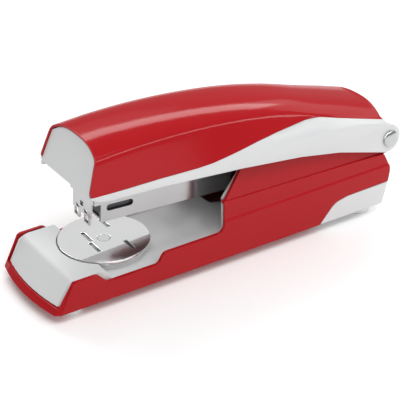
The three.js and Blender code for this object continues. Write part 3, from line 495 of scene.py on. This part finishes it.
# The lengths and tables below are in millimetres, and x is counted from SHIFT_X behind the middle.
SHIFT_X = 2.05
NOSE_X = -55.9
NOSE_Z = 40.6
NOSE_RAKE = 0.35
REAR_X = 63.2
CORNER_ROUND = 1.8
SHOULDER_ROUND = 1.7
SHOULDER_SHARE = 0.45
SHORTEST_SIDE = 0.5
CROWN_POWER = 2.8
SHOULDER_Z = (
    (-52.1, 52.5), (-38, 53.4), (-22, 53.5), (-5, 52.6), (12, 50.6), (28, 47.3), (44.0, 42.7), (64.1, 37.0),
)
SHOULDER_HALF = ((-52.1, 15.2), (-20, 15.2), (12, 14.8), (40, 14.7), (64.1, 15.2))
CROWN_RISE = ((-52.1, 3.6), (-20, 3.4), (12, 3.2), (40, 3.1), (64.1, 2.7))
REAR_BOW = 2.2
KNEE_Z = ((-52.1, 41.5), (-16, 38), (1, 40), (26, 41), (48.3, 39.5), (64.1, 35.9))
LOWER_HALF = ((-55, 17.1), (-16, 19.1), (1, 19.7), (28, 19.7), (64.6, 19.7))
COVER_EDGE = (
    (-54.4, 41.2), (-45, 41.2), (-30, 41.3), (-16, 41.1), (-10, 41.4), (-1.6, 42.6), (7.7, 44.0),
    (17.5, 45.0), (29, 45.4), (35.4, 44.6), (44.0, 42.1), (63.6, 36.8),
)
ROWS = 120
NOSE_CROWDING = 0.18
ROW_CROWDING = 1.25
FIRST_Z = 48.0
SETTLING_ROUNDS = 6
SIDE_COLUMNS = 7
BEND_COLUMNS = 6
ROOF_COLUMNS = 10


def follow(table, x):
    """Smooth curve through a table of stations, level beyond its ends."""
    if x <= table[0][0]:
        return table[0][1]
    if x >= table[-1][0]:
        return table[-1][1]

    def slope(i):
        before, after = table[max(i - 1, 0)], table[min(i + 1, len(table) - 1)]
        return (after[1] - before[1]) / (after[0] - before[0])

    i = next(k for k, station in enumerate(table) if station[0] >= x)
    (x0, value0), (x1, value1) = table[i - 1], table[i]
    t = (x - x0) / (x1 - x0)
    rise0, rise1 = slope(i - 1) * (x1 - x0), slope(i) * (x1 - x0)
    smooth = value0 + (value1 - value0) * t * t * (3 - 2 * t)
    return smooth + rise0 * t * (1 - t) ** 2 - rise1 * t * t * (1 - t)


def half_section(x, rim_lift):
    """Points (y, z) of the cover's section on one side, from the rim up over the shoulder to the crest."""
    shoulder, half, rise = follow(SHOULDER_Z, x), follow(SHOULDER_HALF, x), follow(CROWN_RISE, x)
    knee, low = follow(KNEE_Z, x), follow(LOWER_HALF, x)
    lean = Vector((half - low, shoulder - knee)).normalized()
    corner = Vector((half, shoulder))
    rim_z = min(follow(COVER_EDGE, x) + rim_lift, shoulder - SHORTEST_SIDE)
    rim = corner + lean * ((rim_z - shoulder) / lean.y)
    bend = min(SHOULDER_ROUND, SHOULDER_SHARE * (corner - rim).length)
    side_end = corner - lean * bend
    across = 1 - bend / half
    roof_start = Vector((half * across, shoulder + rise * (1 - across ** CROWN_POWER)))
    points = [rim.lerp(side_end, i / SIDE_COLUMNS) for i in range(SIDE_COLUMNS)]
    for i in range(BEND_COLUMNS):
        t = i / BEND_COLUMNS
        points.append(side_end.lerp(corner, t).lerp(corner.lerp(roof_start, t), t))
    for i in range(ROOF_COLUMNS + 1):
        share = across * (1 - i / ROOF_COLUMNS)
        points.append(Vector((half * share, shoulder + rise * (1 - share ** CROWN_POWER))))
    return points


def cover_station(row, y, z):
    """Place along X of a row: the first row leans with the nose, the last is bowed out at the back."""
    share = row / ROWS
    if share < 0.5:
        share -= NOSE_CROWDING * math.sin(2 * math.pi * share) / (2 * math.pi)
    share = share ** ROW_CROWDING
    front = NOSE_X + NOSE_RAKE * (z - NOSE_Z)
    rear = REAR_X + REAR_BOW * (1 - (y / SHOULDER_HALF[-1][1]) ** 2)
    return front + (rear - front) * share


half_columns = SIDE_COLUMNS + BEND_COLUMNS + ROOF_COLUMNS
bpy.ops.mesh.primitive_grid_add(x_subdivisions=ROWS, y_subdivisions=2 * half_columns, size=1)
cover = bpy.context.object
cover.name = "top_cover_pressed"
last_row = set()
for vertex in cover.data.vertices:
    row = round((vertex.co.x + 0.5) * ROWS)
    if row == ROWS:
        last_row.add(vertex.index)
    column = round((vertex.co.y + 0.5) * 2 * half_columns)
    near = column <= half_columns
    place = column if near else 2 * half_columns - column
    y, z = 0.0, FIRST_Z
    for _ in range(SETTLING_ROUNDS):
        x = cover_station(row, min(y, SHOULDER_HALF[-1][1]), z)
        from_corner = x - (NOSE_X + NOSE_RAKE * (z - NOSE_Z))
        missing = CORNER_ROUND - from_corner
        lift = CORNER_ROUND - math.sqrt(max(CORNER_ROUND ** 2 - missing ** 2, 0.0)) if missing > 0 else 0.0
        y, z = half_section(x, lift)[place]
    vertex.co = Vector(((x + SHIFT_X), -y if near else y, z)) * MM
rim_z = min(cover.data.vertices[i].co.z for i in last_row)
only(cover)
bpy.ops.object.mode_set(mode="EDIT")
bpy.ops.mesh.select_mode(type="EDGE")
bpy.ops.mesh.select_all(action="DESELECT")
bpy.ops.object.mode_set(mode="OBJECT")
for edge in cover.data.edges:
    edge.select = edge.vertices[0] in last_row and edge.vertices[1] in last_row
bpy.ops.object.mode_set(mode="EDIT")
bpy.ops.mesh.extrude_edges_move()
bpy.ops.transform.resize(value=(1, 1, 0), center_override=(0, 0, rim_z))
bpy.ops.mesh.select_all(action="SELECT")
bpy.ops.mesh.remove_doubles(threshold=MERGE_GAP)
bpy.ops.mesh.normals_make_consistent(inside=False)
bpy.ops.mesh.select_mode(type="VERT")
bpy.ops.object.mode_set(mode="OBJECT")
crest = max(cover.data.polygons, key=lambda face: face.center.z)
if crest.normal.z < 0:
    cover.data.flip_normals()
apply_modifier(cover, "SOLIDIFY", {"thickness": COVER_SHEET, "offset": -1.0, "use_even_offset": True})
round_edges(cover, COVER_RIM, angle=38, segments=3)
dress(cover, "top_cover", "arm", red_lacquer)

# ------------------------------------------------------------------ hinge pin
# A bright steel pin through base, magazine and arm, on which both of them turn. Each end is riveted
# over into a domed head outside the grey cheeks.
PIN_DOME = 0.8 * MM
pin_plate = make_plate("bright_plate_pin", (700, 700, 700), 0.2, 0.08, FOLDED_DARK, FOLDED_LIGHT)
pin = worked_copy("hinge_pin", "hinge_pin_domed")
round_edges(pin, PIN_DOME, segments=6)
dress(pin, "hinge_pin", "base", pin_plate)
